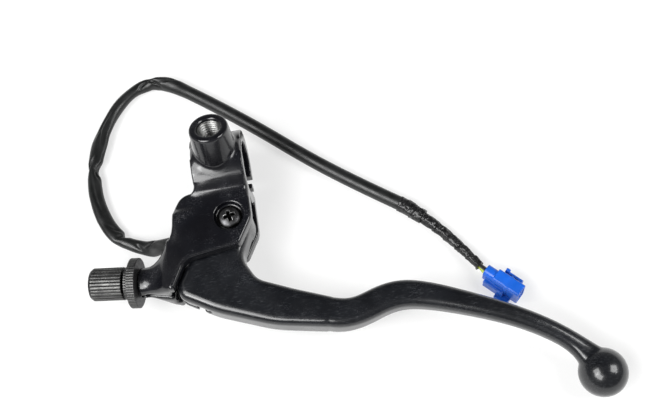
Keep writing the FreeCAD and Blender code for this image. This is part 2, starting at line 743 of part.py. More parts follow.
# ---- wiring harness -----------------------------------------------------------------
def tangent_path(points):
    """Straight runs joined by tangent arcs, as large as the runs allow."""
    edges = []
    radii = []
    start = points[0]
    for i in range(1, len(points) - 1):
        here = points[i]
        to_before = points[i - 1] - here
        to_after = points[i + 1] - here
        shorter = min(to_before.Length, to_after.Length)
        to_before.normalize()
        to_after.normalize()
        half_turn = (math.pi - to_before.getAngle(to_after)) / 2
        reach = 0.45 * shorter
        radius = reach / math.tan(half_turn)
        middle = (to_before + to_after).normalize()
        centre = here + middle * (radius / math.cos(half_turn))
        enter = here + to_before * reach
        leave = here + to_after * reach
        edges.append(Part.LineSegment(start, enter).toShape())
        edges.append(Part.Arc(enter, centre - middle * radius, leave).toShape())
        radii.append(round(radius, 1))
        start = leave
    edges.append(Part.LineSegment(start, points[-1]).toShape())
    return Part.Wire(edges), radii


def tube(points, radius, name):
    path, radii = tangent_path(points)
    first = points[1] - points[0]
    ring = Part.Wire(Part.makeCircle(radius, points[0], first))
    solid = path.makePipeShell([ring], True, False)
    ideal = math.pi * radius ** 2 * path.Length
    print(name, "length", round(path.Length, 1), "radii", radii,
          "volume ratio", round(solid.Volume / ideal, 4))
    return solid


def make_tape_collar():
    """The turns of tape that close the end of the sleeve on the thinner bundle."""
    start = ROUTE[-1]
    end = BUNDLE_ROUTE[0]
    return cone(SLEEVE_R, COLLAR_END_R, start, end)


def on_plug(along, side=0.0, up=0.0):
    """A point along the connector, towards its latch side, and above its middle."""
    ahead = Vector(math.cos(PLUG_YAW), math.sin(PLUG_YAW), 0)
    latchward = Vector(-math.sin(PLUG_YAW), math.cos(PLUG_YAW), 0)
    return level(PLUG_START, PLUG_Z) + ahead * along + latchward * side + Z_AXIS * up


def plug_block(low, high, fillet=0.0):
    """A block in the connector's own directions: along, latchward and up."""
    size = [high[i] - low[i] for i in range(3)]
    block = Part.makeBox(size[0], size[1], size[2])
    if fillet:
        block = block.makeFillet(fillet, [e for e in block.Edges if runs_along(e)])
    block.Placement = FreeCAD.Placement(
        on_plug(low[0], low[1], low[2]), FreeCAD.Rotation(Z_AXIS, math.degrees(PLUG_YAW)))
    return block


def runs_along(edge):
    a = edge.Vertexes[0].Point
    b = edge.Vertexes[1].Point
    return abs(a.y - b.y) < 1e-6 and abs(a.z - b.z) < 1e-6


def make_wire_leads():
    """The two bare wires between the tape and the connector."""
    wires = []
    for side in (-1, 1):
        start = BUNDLE_ROUTE[-1] + Z_AXIS * (side * (WIRE_R + 0.1))
        end = on_plug(0.0, 0, side * CAVITY_PITCH / 2)
        wires.append(cylinder(WIRE_R, start, end))
    return Part.makeCompound(wires)


def make_wire_seals():
    seals = []
    for side in (-1, 1):
        up = side * CAVITY_PITCH / 2
        seals.append(cylinder(SEAL_R, on_plug(0, 0, up), on_plug(SEAL_LENGTH, 0, up)))
    return Part.makeCompound(seals)


def make_connector_housing():
    """The collar round the seals, the body, its shelf and key on one side, the latch on the other."""
    top = PLUG_HEIGHT / 2
    wide = PLUG_HALF_WIDTH
    end = PLUG_LENGTH
    collar = plug_block((0, -2.6, -4.4), (7.0, 2.6, 4.4), 2.4)
    body = plug_block((4.8, -wide, -top), (end, wide, top), 1.1)
    band = plug_block((10.4, -wide - 0.3, -top), (11.8, wide + 0.3, top), 1.2)
    shelf = plug_block((1.6, -4.6, -4.6), (11.0, -2.2, 1.0), 0.6)
    key = plug_block((8.2, -6.3, -top), (14.4, -2.6, -2.6), 0.5)
    latch_root = plug_block((12.6, 2.6, -2.0), (15.0, 4.6, 2.0), 0.4)
    latch_arm = plug_block((6.6, 4.0, -2.0), (15.0, 5.2, 2.0), 0.4)
    latch_pad = plug_block((6.6, 4.4, -2.7), (8.4, 5.9, 2.7), 0.4)
    solid = collar.fuse([body, band, shelf, key, latch_root, latch_arm, latch_pad])
    cuts = [plug_block((end - 2.0, -1.9, -0.35), (end + 1.0, 1.9, 0.35))]
    for side in (-1, 1):
        up = side * CAVITY_PITCH / 2
        cuts.append(plug_block((CAVITY_START, -1.9, up - 1.55), (end + 1.0, 1.9, up + 1.55)))
        cuts.append(cylinder(SEAL_R, on_plug(-0.5, 0, up), on_plug(SEAL_LENGTH, 0, up)))
    return solid.cut(cuts)


def make_connector_terminals():
    tip = PLUG_LENGTH - 2.4
    pins = []
    for side in (-1, 1):
        up = side * CAVITY_PITCH / 2
        pins.append(plug_block((CAVITY_START, -1.1, up - 0.9), (tip, 1.1, up + 0.9), 0.3))
    return Part.makeCompound(pins)


# ---- write every node ---------------------------------------------------------------
def main():
    save(make_perch(), "perch_body")
    save(make_pinch_bolt(), "pinch_bolt")
    save(make_pinch_washer(), "pinch_washer")
    save(make_pivot_bolt(), "pivot_bolt")
    save(make_pivot_bush(), "pivot_bush")
    save(make_pivot_nut(), "pivot_nut")
    save(make_lever(), "lever")
    save(make_lock_ring(), "lock_ring")
    save(make_adjuster_barrel(), "adjuster_barrel")
    save(make_cable_seat(), "cable_seat")
    save(make_switch_housing(), "switch_housing")
    save(make_switch_lid(), "switch_lid")
    save(make_switch_plunger(), "switch_plunger")
    save(make_plunger_spring(), "plunger_spring")
    save(make_contact_bridge(), "contact_bridge")
    save(make_switch_contacts(), "switch_contacts")
    save(make_switch_screw(), "switch_screw")
    save(make_cable_boot(), "cable_boot")
    save(tube(ROUTE, SLEEVE_R, "harness_sleeve"), "harness_sleeve")
    save(make_tape_collar(), "tape_collar")
    save(tube(BUNDLE_ROUTE, BUNDLE_R, "taped_bundle"), "taped_bundle")
    save(make_wire_leads(), "wire_leads")
    save(make_wire_seals(), "wire_seals")
    save(make_connector_housing(), "connector_housing")
    save(make_connector_terminals(), "connector_terminals")


main()
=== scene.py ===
"""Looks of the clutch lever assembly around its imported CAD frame: metres, in the CAD frame."""
import json
import math

import bmesh
import bpy
import numpy as np
from mathutils import Matrix, Vector, noise

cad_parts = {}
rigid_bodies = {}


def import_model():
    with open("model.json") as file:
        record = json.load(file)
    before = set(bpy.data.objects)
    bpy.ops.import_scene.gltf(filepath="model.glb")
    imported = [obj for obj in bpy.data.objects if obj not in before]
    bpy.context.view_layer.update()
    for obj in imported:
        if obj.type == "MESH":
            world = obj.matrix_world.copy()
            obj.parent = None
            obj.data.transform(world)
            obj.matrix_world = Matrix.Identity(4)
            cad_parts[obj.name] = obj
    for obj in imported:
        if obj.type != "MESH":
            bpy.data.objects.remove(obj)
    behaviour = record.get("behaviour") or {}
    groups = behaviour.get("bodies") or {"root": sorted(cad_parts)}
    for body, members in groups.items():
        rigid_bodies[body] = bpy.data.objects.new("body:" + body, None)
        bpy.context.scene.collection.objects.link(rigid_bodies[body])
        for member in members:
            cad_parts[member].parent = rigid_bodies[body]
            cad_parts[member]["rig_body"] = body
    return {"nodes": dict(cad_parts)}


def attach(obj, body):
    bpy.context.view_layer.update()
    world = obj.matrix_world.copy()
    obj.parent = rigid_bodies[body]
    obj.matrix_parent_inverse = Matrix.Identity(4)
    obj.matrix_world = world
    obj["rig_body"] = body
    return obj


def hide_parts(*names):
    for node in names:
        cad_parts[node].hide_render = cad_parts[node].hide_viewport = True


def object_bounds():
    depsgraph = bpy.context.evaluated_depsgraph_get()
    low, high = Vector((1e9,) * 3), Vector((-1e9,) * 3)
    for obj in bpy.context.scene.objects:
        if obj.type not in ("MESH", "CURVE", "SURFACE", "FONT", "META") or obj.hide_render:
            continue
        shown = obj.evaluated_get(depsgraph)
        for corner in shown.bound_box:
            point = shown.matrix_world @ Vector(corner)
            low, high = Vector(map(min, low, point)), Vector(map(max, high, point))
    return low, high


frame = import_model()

CAD_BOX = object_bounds()
MM = 0.001
FLOOR_Z = CAD_BOX[0][2]


def mm(*xyz):
    """A point given in millimetres."""
    return Vector(xyz) * MM


# ---- camera -------------------------------------------------------------------------
CAMERA_TARGET = mm(42.54, -24.4, 0)
CAMERA_DISTANCE = 0.40487
CAMERA_ELEVATION = math.radians(66.29)
CAMERA_AZIMUTH = math.radians(4.41)
CAMERA_ROLL = math.radians(13.66)
CAMERA_LENS = 53.12          # millimetres, on a 36 mm wide sensor


def add_camera():
    """Looks down on the lever from the front, turned about its own axis."""
    flat = math.cos(CAMERA_ELEVATION)
    back = Vector((math.sin(CAMERA_AZIMUTH) * flat, -math.cos(CAMERA_AZIMUTH) * flat,
                   math.sin(CAMERA_ELEVATION)))
    level_right = Vector((math.cos(CAMERA_AZIMUTH), math.sin(CAMERA_AZIMUTH), 0))
    level_up = back.cross(level_right)
    right = level_right * math.cos(CAMERA_ROLL) - level_up * math.sin(CAMERA_ROLL)
    up = back.cross(right)
    data = bpy.data.cameras.new("camera")
    data.lens = CAMERA_LENS
    data.sensor_width = 36
    data.clip_start = 0.01
    camera = bpy.data.objects.new("camera", data)
    place = Matrix((right, up, back)).transposed().to_4x4()
    place.translation = CAMERA_TARGET + back * CAMERA_DISTANCE
    camera.matrix_world = place
    bpy.context.scene.collection.objects.link(camera)
    bpy.context.scene.camera = camera


# ---- mesh helpers -------------------------------------------------------------------
def new_object(name, data):
    piece = bpy.data.objects.new(name, data)
    bpy.context.scene.collection.objects.link(piece)
    return piece


def mesh_piece(name, points, faces):
    mesh = bpy.data.meshes.new(name)
    mesh.from_pydata([tuple(p) for p in points], [], faces)
    mesh.update()
    smooth_shade(mesh)
    return new_object(name, mesh)


def smooth_shade(mesh):
    mesh.polygons.foreach_set("use_smooth", [True] * len(mesh.polygons))


WELD_DISTANCE = 0.002 * MM
RELAX_SHARE = 0.5            # how far each pass moves a point towards its neighbours' middle


def copy_of(node, name):
    """A welded copy of a CAD node's mesh."""
    mesh = frame["nodes"][node].data.copy()
    work = bmesh.new()
    work.from_mesh(mesh)
    bmesh.ops.remove_doubles(work, verts=work.verts, dist=WELD_DISTANCE)
    work.to_mesh(mesh)
    work.free()
    mesh.name = name
    mesh.materials.clear()
    return new_object(name, mesh)


def applied(piece):
    """Replaces a piece's mesh by what its modifiers make of it."""
    graph = bpy.context.evaluated_depsgraph_get()
    mesh = bpy.data.meshes.new_from_object(piece.evaluated_get(graph))
    piece.modifiers.clear()
    piece.data = mesh
    return piece


def relax(piece, passes, weight_at=None):
    """Evens out a mesh; weight_at(points) gives how much each point may move, 0 to 1."""
    mesh = piece.data
    count = len(mesh.vertices)
    points = np.zeros(count * 3)
    mesh.vertices.foreach_get("co", points)
    points = points.reshape(-1, 3)
    edges = np.zeros(len(mesh.edges) * 2, int)
    mesh.edges.foreach_get("vertices", edges)
    a, b = edges.reshape(-1, 2).T
    neighbours = np.bincount(a, minlength=count) + np.bincount(b, minlength=count)
    weight = np.ones(count) if weight_at is None else weight_at(points)
    step = (RELAX_SHARE * weight / np.maximum(neighbours, 1))[:, None]
    for _ in range(passes):
        total = np.empty_like(points)
        for k in range(3):
            total[:, k] = np.bincount(a, points[b, k], count) + np.bincount(b, points[a, k], count)
        points += step * (total - neighbours[:, None] * points)
    mesh.vertices.foreach_set("co", points.ravel())
    mesh.update()


def softened(node, name, voxel, passes, weight_at=None):
    """A CAD node as a dense mesh with every edge slightly rounded; voxel is in millimetres."""
    piece = copy_of(node, name)
    remesh = piece.modifiers.new("remesh", "REMESH")
    remesh.mode = "VOXEL"
    remesh.voxel_size = voxel * MM
    applied(piece)
    relax(piece, passes, weight_at)
    smooth_shade(piece.data)
    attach(piece, frame["nodes"][node]["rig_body"])
    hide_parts(node)
    return piece


def smooth_step(x, low, high):
    """0 below low, 1 above high, with an even passage; for a number or an array."""
    share = np.clip((x - low) / (high - low), 0, 1)
    return share * share * (3 - 2 * share)


# ---- routes of the cords ------------------------------------------------------------
# the bundle's is the CAD model's; the sleeve's is near it, with its own small kinks
SLEEVE_D = 6.2 * MM
SLEEVE_ROUTE = [
    mm(-23.3, -27.0, -6.8),
    mm(-29.8, -26.6, -8.6),
    mm(-38.0, -23.6, -17.5),
    mm(-51.0, -17.2, -17.5),
    mm(-58.6, -4.0, -17.5),
    mm(-62.0, 14.5, -17.5),
    mm(-57.4, 37.0, -17.5),
    mm(-43.8, 57.4, -17.5),
    mm(-27.0, 61.6, -17.5),
    mm(-9.8, 48.8, -17.5),
    mm(14.8, 28.0, -17.5),
    mm(37.6, 6.6, -17.5),
    mm(59.4, -11.2, -17.5),
    mm(75.2, -23.0, -17.5),
]
BUNDLE_ROUTE = [
    mm(82.0, -29.6, -17.8),
    mm(88.8, -37.0, -18.2),
    mm(95.4, -46.4, -17.6),
    mm(101.2, -56.2, -16.0),
]


# ---- materials ----------------------------------------------------------------------
COAT_ROUGHNESS = 0.12


class Finish:
    """A material under construction: its nodes are laid out by small named steps."""

    def __init__(self, name, base, roughness, metallic=0.0, coat=0.0, gloss=0.5):
        self.material = bpy.data.materials.new(name)
        self.material.use_nodes = True
        self.tree = self.material.node_tree
        self.shader = self.tree.nodes["Principled BSDF"]
        self.shader.inputs["Base Color"].default_value = (*base, 1)
        self.shader.inputs["Roughness"].default_value = roughness
        self.shader.inputs["Metallic"].default_value = metallic
        self.shader.inputs["Specular IOR Level"].default_value = gloss
        self.shader.inputs["Coat Weight"].default_value = coat
        self.shader.inputs["Coat Roughness"].default_value = COAT_ROUGHNESS
        self.where = self.tree.nodes.new("ShaderNodeTexCoord").outputs["Object"]

    def add(self, kind, **values):
        node = self.tree.nodes.new(kind)
        for key, value in values.items():
            setattr(node, key, value)
        return node

    def join(self, output, socket):
        self.tree.links.new(output, socket)

    def stretched(self, scale, turn=(0, 0, 0)):
        """Object coordinates scaled per axis, in periods per metre."""
        mapping = self.add("ShaderNodeMapping")
        mapping.inputs["Scale"].default_value = scale
        mapping.inputs["Rotation"].default_value = turn
        self.join(self.where, mapping.inputs["Vector"])
        return mapping.outputs["Vector"]

    def from_axis(self, place, yaw):
        """Distance from a level axis through a place."""
        mapping = self.add("ShaderNodeMapping", vector_type="TEXTURE")
        mapping.inputs["Location"].default_value = place
        mapping.inputs["Rotation"].default_value = (0, 0, yaw)
        self.join(self.where, mapping.inputs["Vector"])
        split = self.add("ShaderNodeSeparateXYZ")
        self.join(mapping.outputs["Vector"], split.inputs["Vector"])
        squares = [self.math("MULTIPLY", split.outputs[k], split.outputs[k]) for k in ("Y", "Z")]
        return self.math("POWER", self.math("ADD", *squares), 0.5)

    def height(self):
        """Height above the frame's origin, in metres."""
        split = self.add("ShaderNodeSeparateXYZ")
        self.join(self.where, split.inputs["Vector"])
        return split.outputs["Z"]

    def noise(self, scale, detail=3.0, roughness=0.5, vector=None):
        node = self.add("ShaderNodeTexNoise")
        node.inputs["Scale"].default_value = scale
        node.inputs["Detail"].default_value = detail
        node.inputs["Roughness"].default_value = roughness
        self.join(vector or self.where, node.inputs["Vector"])
        return node.outputs["Fac"]

    def ramp(self, value, low, high, to_low=0.0, to_high=1.0):
        node = self.add("ShaderNodeMapRange", clamp=True)
        node.inputs["From Min"].default_value = low
        node.inputs["From Max"].default_value = high
        node.inputs["To Min"].default_value = to_low
        node.inputs["To Max"].default_value = to_high
        self.join(value, node.inputs["Value"])
        return node.outputs["Result"]

    def math(self, operation, a, b):
        node = self.add("ShaderNodeMath", operation=operation, use_clamp=False)
        for socket, value in zip(node.inputs, (a, b)):
            if isinstance(value, (int, float)):
                socket.default_value = value
            else:
                self.join(value, socket)
        return node.outputs["Value"]

    def blend_colour(self, share, colour):
        """Mixes a colour into the base colour by a share that varies over the surface."""
        node = self.add("ShaderNodeMix", data_type="RGBA")
        socket = self.shader.inputs["Base Color"]
        if socket.is_linked:
            self.join(socket.links[0].from_socket, node.inputs[6])
        else:
            node.inputs[6].default_value = socket.default_value
        node.inputs[7].default_value = (*colour, 1)
        self.join(share, node.inputs[0])
        self.join(node.outputs[2], socket)

    def blend_value(self, name, share, value):
        """Moves a shader value towards another one by a share that varies."""
        node = self.add("ShaderNodeMix", data_type="FLOAT")
        socket = self.shader.inputs[name]
        if socket.is_linked:
            self.join(socket.links[0].from_socket, node.inputs[2])
        else:
            node.inputs[2].default_value = socket.default_value
        node.inputs[3].default_value = value
        self.join(share, node.inputs[0])
        self.join(node.outputs[0], socket)

    def bump(self, height, strength, distance):
        """Adds relief; distance is in millimetres."""
        node = self.add("ShaderNodeBump")
        node.inputs["Strength"].default_value = strength
        node.inputs["Distance"].default_value = distance * MM
        self.join(height, node.inputs["Height"])
        socket = self.shader.inputs["Normal"]
        if socket.is_linked:
            self.join(socket.links[0].from_socket, node.inputs["Normal"])
        self.join(node.outputs["Normal"], socket)

    def edges(self, low, high):
        """1 on worn convex edges, 0 elsewhere."""
        return self.ramp(self.add("ShaderNodeNewGeometry").outputs["Pointiness"], low, high)


# each family of scuffs: its turn about the vertical in radians, and how fine its patches are
SCUFFS = [(0.3, 110), (-0.55, 146), (1.2, 194)]
SCUFF_LINES = (420, 3600, 1500)     # periods per metre, few along a scuff and many across it


def scratches(finish, density):
    """Hair-fine scuffs in several directions, in patches."""
    total = None
    for turn, patch_scale in SCUFFS:
        lines = finish.stretched(SCUFF_LINES, (0, 0, turn))
        streak = finish.ramp(finish.noise(1.0, 2.0, 0.5, lines), 0.62 - density, 0.74 - density)
        patch = finish.ramp(finish.noise(patch_scale, 3.0), 0.42, 0.62)
        layer = finish.math("MULTIPLY", streak, patch)
        total = layer if total is None else finish.math("MAXIMUM", total, layer)
    return total


SCUFF_GREY = (0.075, 0.08, 0.088)
SPECK_GREY = (0.14, 0.14, 0.15)


def enamel(name, dark, pale, roughness, scuffs, speckle):
    """Glossy black enamel on a casting: slight orange peel, fine scuffs and pale specks."""
    finish = Finish(name, dark, roughness, coat=0.6, gloss=0.3)
    finish.blend_colour(finish.ramp(finish.noise(70, 4.0), 0.35, 0.7), pale)
    marks = scratches(finish, scuffs)
    finish.blend_colour(finish.math("MULTIPLY", marks, 0.45), SCUFF_GREY)
    specks = finish.ramp(finish.noise(2600, 2.0, 0.7), 0.58, 0.72)
    dusty = finish.ramp(finish.noise(75, 3.0), 0.5, 0.7)
    finish.blend_colour(finish.math("MULTIPLY", finish.math("MULTIPLY", specks, dusty), speckle),
                        SPECK_GREY)
    finish.blend_value("Roughness", finish.ramp(finish.noise(160, 3.0), 0.3, 0.75), roughness + 0.1)
    finish.blend_value("Roughness", finish.math("MULTIPLY", marks, 0.6), 0.5)
    finish.bump(finish.noise(1100, 2.0), 0.10, 0.02)
    finish.bump(finish.noise(240, 2.0), 0.08, 0.05)
    return finish.material


# painted shade: the near-black colour given to the pivot screw in its cross recess and down in its
# counterbore
RECESS_SHADE = (0.002, 0.002, 0.002)
RECESS_SHADE_FADE = 0.3 * MM


def worn_metal(name, dark, bright, roughness, low, high, sunk):
    """Dark plated metal whose edges are rubbed bright, with painted shade below the level sunk."""
    finish = Finish(name, dark, roughness, metallic=0.9)
    finish.blend_colour(finish.ramp(finish.noise(500, 3.0), 0.35, 0.75), [c * 1.8 for c in dark])
    wear = finish.math("MULTIPLY", finish.edges(low, high),
                       finish.ramp(finish.noise(420, 3.0), 0.25, 0.6, 0.45, 1.0))
    finish.blend_colour(wear, bright)
    # painted shade: the colour turns near black below the level sunk, i.e. in the screw's recess and
    # counterbore
    finish.blend_colour(finish.ramp(finish.height(), sunk - RECESS_SHADE_FADE, sunk, 1.0, 0.0), RECESS_SHADE)
    finish.blend_value("Roughness", finish.ramp(finish.noise(900, 2.0), 0.3, 0.7), roughness + 0.14)
    finish.bump(finish.noise(2500, 2.0), 0.15, 0.02)
    return finish.material


PIVOT_HEAD_TOP = 8.8 * MM
# how far below the screw head's top the painted shade begins
PIVOT_SHADE_DEPTH = 0.75 * MM

# the adjuster's axis, and how its knurling is worn: bare from RUBBED_DEPTH below a crest up
ADJUSTER_START = mm(-39.7, -43.4, -3.5)
ADJUSTER_YAW = math.radians(-7.5)
RUBBED_DEPTH = 0.126 * MM
BARREL_CREST = 6.9
RING_CRESTS = (10.5, 7.0)


def worn_knurl(name, crest_radii, dark=(0.014, 0.014, 0.0145), bright=(0.16, 0.16, 0.155)):
    """Black anodised knurling, rubbed bare on its crests, whose radii are in millimetres, and
    left dark in its grooves."""
    finish = Finish(name, dark, 0.38, metallic=0.85)
    finish.blend_colour(finish.ramp(finish.noise(500, 3.0), 0.35, 0.75), [c * 2.2 for c in dark])
    distance = finish.from_axis(ADJUSTER_START, ADJUSTER_YAW)
    crests = None
    for radius in crest_radii:
        top = radius * MM
        rise = finish.ramp(distance, top - RUBBED_DEPTH, top - 0.02 * MM)
        past = finish.ramp(distance, top + 0.05 * MM, top + 0.12 * MM, 1.0, 0.0)
        band = finish.math("MULTIPLY", rise, past)
        crests = band if crests is None else finish.math("MAXIMUM", crests, band)
    rubbed = finish.ramp(finish.noise(260, 3.0), 0.3, 0.62, 0.3, 1.0)
    finish.blend_colour(finish.math("MULTIPLY", crests, rubbed), bright)
    finish.blend_value("Roughness", finish.ramp(finish.noise(900, 2.0), 0.3, 0.7), 0.5)
    finish.bump(finish.noise(2500, 2.0), 0.2, 0.03)
    return finish.material


def plain_metal(name, colour, roughness):
    """Bare or plated metal with fine turning marks and slight staining."""
    finish = Finish(name, colour, roughness, metallic=1.0)
    finish.blend_colour(finish.ramp(finish.noise(600, 3.0), 0.4, 0.75), [c * 0.6 for c in colour])
    finish.blend_value("Roughness", finish.ramp(finish.noise(1500, 2.0), 0.3, 0.7), roughness + 0.15)
    finish.bump(finish.noise(1.0, 2.0, 0.5, finish.stretched((700, 700, 6000))), 0.2, 0.02)
    return finish.material


def vinyl(name, dark, pale, roughness, wrinkle):
    """Soft black vinyl: long fine creases and a slightly dusty sheen."""
    finish = Finish(name, dark, roughness)
    finish.blend_colour(finish.ramp(finish.noise(110, 4.0), 0.4, 0.75), pale)
    finish.blend_value("Roughness", finish.ramp(finish.noise(220, 3.0), 0.3, 0.7), roughness + 0.13)
    finish.bump(finish.noise(420, 3.0), 0.25 * wrinkle, 0.12)
    finish.bump(finish.noise(1700, 2.0), 0.10 * wrinkle, 0.03)
    return finish.material


def wire_pair(name, low_colour, high_colour, level):
    """Insulation of two wires one above the other: one colour below a level, one above."""
    finish = Finish(name, low_colour, 0.35)
    finish.blend_colour(finish.ramp(finish.height(), level, level + 0.05 * MM), high_colour)
    finish.blend_colour(finish.ramp(finish.noise(400, 3.0), 0.45, 0.8, 0.0, 0.4), (0.02, 0.02, 0.02))
    finish.bump(finish.noise(2200, 2.0), 0.1, 0.03)
    return finish.material


def moulded(name, colour, roughness, shade=0.75):
    """Moulded plastic with flow marks and fine texture."""
    finish = Finish(name, colour, roughness)
    finish.blend_colour(finish.ramp(finish.noise(180, 3.0), 0.35, 0.75), [c * shade for c in colour])
    finish.blend_value("Roughness", finish.ramp(finish.noise(350, 2.0), 0.3, 0.7), roughness + 0.1)
    finish.bump(finish.noise(2200, 2.0), 0.12, 0.03)
    return finish.material


def make_materials():
    return {
        "perch": enamel("perch_enamel", (0.003, 0.003, 0.0045), (0.006, 0.0065, 0.009), 0.2, -0.06, 1.0),
        "lever": enamel("lever_enamel", (0.004, 0.0045, 0.006), (0.0085, 0.0095, 0.012), 0.25, 0.02, 0.5),
        "barrel": worn_knurl("barrel_knurl", (BARREL_CREST,)),
        "ring": worn_knurl("ring_knurl", RING_CRESTS, (0.04, 0.04, 0.041), (0.12, 0.12, 0.116)),
        "pivot": worn_metal("black_plate", (0.06, 0.06, 0.062), (0.5, 0.5, 0.5), 0.25, 0.51, 0.55,
                            PIVOT_HEAD_TOP - PIVOT_SHADE_DEPTH),
        "zinc": plain_metal("zinc_plate", (0.5, 0.5, 0.49), 0.34),
        "bare": plain_metal("bare_aluminium", (0.24, 0.24, 0.235), 0.34),
        "brass": plain_metal("brass", (0.72, 0.53, 0.22), 0.3),
        "spring": plain_metal("spring_steel", (0.55, 0.55, 0.55), 0.25),
        "sleeve": vinyl("sleeve_vinyl", (0.006, 0.0065, 0.0065), (0.013, 0.014, 0.014), 0.33, 0.7),
        "tape": vinyl("wrapped_tape", (0.005, 0.005, 0.0055), (0.011, 0.011, 0.012), 0.27, 1.3),
        "boot": vinyl("boot_rubber", (0.012, 0.012, 0.012), (0.02, 0.02, 0.02), 0.5, 0.8),
        "wires": wire_pair("wire_insulation", (0.5, 0.6, 0.05), (0.012, 0.012, 0.012),
                           BUNDLE_ROUTE[-1].z),
        "seal": moulded("seal_rubber", (0.02, 0.08, 0.3), 0.5),
        "blue": moulded("blue_nylon", (0.006, 0.115, 0.62), 0.3, 0.78),
        "switch": moulded("switch_nylon", (0.012, 0.012, 0.013), 0.42),
        "nylon": moulded("natural_nylon", (0.6, 0.58, 0.5), 0.45),
    }


def paint(piece, material):
    piece.data.materials.clear()
    piece.data.materials.append(material)
    return piece


# ---- cords --------------------------------------------------------------------------
ROUTE_DETAIL = 24            # line points per stretch of a route
FLOOR_CLEARANCE = 0.02 * MM


def route_line(points):
    """The smooth line through a route, as its NURBS spline gives it."""
    curve = bpy.data.curves.new("route", "CURVE")
    curve.dimensions = "3D"
    spline = curve.splines.new("NURBS")
    spline.points.add(len(points) - 1)
    for point, place in zip(spline.points, points):
        point.co = (*place, 1)
    spline.order_u = 3
    spline.use_endpoint_u = True
    spline.resolution_u = ROUTE_DETAIL
    holder = bpy.data.objects.new("route", curve)
    mesh = bpy.data.meshes.new_from_object(holder)
    line = [v.co.copy() for v in mesh.vertices]
    bpy.data.objects.remove(holder)
    return line


def line_length(line):
    return sum((b - a).length for a, b in zip(line, line[1:]))


def stations(line, spacing):
    """Even stations along a line: place, direction and distance from its start."""
    total = line_length(line)
    count = max(2, round(total / spacing))
    result = []
    leg = 0
    done = 0.0
    for i in range(count + 1):
        target = total * i / count
        while leg < len(line) - 2 and done + (line[leg + 1] - line[leg]).length < target:
            done += (line[leg + 1] - line[leg]).length
            leg += 1
        step = line[leg + 1] - line[leg]
        share = min(1.0, (target - done) / step.length)
        result.append((line[leg] + step * share, step.normalized(), target))
    return result


def sweep(name, line, spacing, sides, section):
    """A closed tube along a line, pressed flat where it would pass through the table;
    section(distance, angle) gives its (sideways, up) offsets."""
    points = []
    faces = []
    rings = stations(line, spacing)
    for place, ahead, distance in rings:
        side = ahead.cross(Vector((0, 0, 1))).normalized()
        up = side.cross(ahead)
        for k in range(sides):
            across, rise = section(distance, 2 * math.pi * k / sides)
            point = place + side * across + up * rise
            point.z = max(point.z, FLOOR_Z + FLOOR_CLEARANCE)
            points.append(point)
    for i in range(len(rings) - 1):
        for k in range(sides):
            a = i * sides + k
            b = i * sides + (k + 1) % sides
            faces.append((a, b, b + sides, a + sides))
    faces.append(tuple(range(sides)))
    faces.append(tuple(len(points) - 1 - k for k in range(sides)))
    return mesh_piece(name, points, faces)


# each squeeze: distance along the sleeve, how wide and how flat it is there, and how far the
# flattened section is turned, in millimetres, shares of the radius and degrees
SLEEVE_SHAPE = [
    (0, 1.0, 1.0, 0),
    (7, 1.02, 0.9, 15),
    (15, 1.16, 0.66, 28),
    (22, 0.98, 0.74, 8),
    (28, 0.9, 0.8, -8),
    (31, 0.98, 0.85, -15),
    (35, 1.2, 0.74, -25),
    (44, 1.12, 0.74, -14),
    (58, 1.04, 0.8, -14),
    (66, 1.0, 0.84, -10),
    (71, 0.92, 0.9, 0),
    (76, 1.15, 0.74, 10),
    (84, 1.3, 0.62, 12),
    (92, 1.1, 0.72, 20),
    (104, 0.9, 0.9, 30),
    (114, 1.0, 0.8, 40),
    (122, 0.84, 0.95, 70),
    (128, 1.2, 0.7, 110),
    (136, 1.1, 0.86, 150),
    (145, 1.0, 1.0, 180),
    (270, 1.0, 1.0, 180),
]

# each crease: distance along, reach along, angle round the sleeve, reach round, depth, and how
# much the crease turns round the sleeve over each millimetre
CREASES = [
    (9, 3.0, 95, 26, 0.8, 0),
    (15, 2.6, 70, 16, 0.9, 9),
    (22, 2.2, 110, 16, 0.8, -9),
    (31.5, 1.7, 0, 55, 1.9, 0),
    (33.0, 1.2, 75, 25, 0.8, 10),
    (38, 3.0, 60, 14, 0.8, 8),
    (60, 10.0, 95, 12, 0.8, 1.5),
    (69, 3.0, 60, 18, 1.1, 8),
    (71, 2.6, 0, 55, 2.2, 0),
    (74, 3.0, 130, 14, 1.2, -10),
    (84, 7.0, 95, 12, 1.1, 3),
    (97, 9.0, 115, 14, 0.6, -3),
    (121, 2.2, 80, 20, 1.2, 12),
    (127, 2.4, 60, 14, 1.3, -16),
    (133, 2.6, 105, 14, 1.0, 14),
]


def sleeve_section(distance, angle):
    """The sleeve's outline: round where it is full, flattened and creased where it is slack."""
    at = distance / MM
    radius = SLEEVE_D / 2
    low = max(k for k in range(len(SLEEVE_SHAPE) - 1) if SLEEVE_SHAPE[k][0] <= at)
    start, end = SLEEVE_SHAPE[low], SLEEVE_SHAPE[low + 1]
    share = smooth_step(at, start[0], end[0])
    wide, flat, turn = (start[k] + (end[k] - start[k]) * share for k in (1, 2, 3))
    turn = math.radians(turn)
    grow = 1.0
    for place, reach, around, spread, depth, slant in CREASES:
        along = (at - place) / reach
        if abs(along) > 3:
            continue
        off = math.degrees(angle) - around - slant * (at - place)
        off = (off + 180) % 360 - 180
        grow -= depth * MM / radius * math.exp(-along * along - (off / spread) ** 2)
    x = radius * wide * grow * math.cos(angle - turn)
    y = radius * flat * grow * math.sin(angle - turn)
    across = x * math.cos(turn) - y * math.sin(turn)
    rise = x * math.sin(turn) + y * math.cos(turn)
    return across, rise


TAPE_LAP = 6.5 * MM          # how far along one turn of the tape takes it
TAPE_STEP = 0.34 * MM        # the rise where one turn lies on the last
TAPE_TIGHTNESS = 0.05 * MM
WRINKLE_HEIGHT = 0.26 * MM
CRINKLE_DEPTH = 0.42 * MM
FINE_CRINKLE_DEPTH = 0.1 * MM


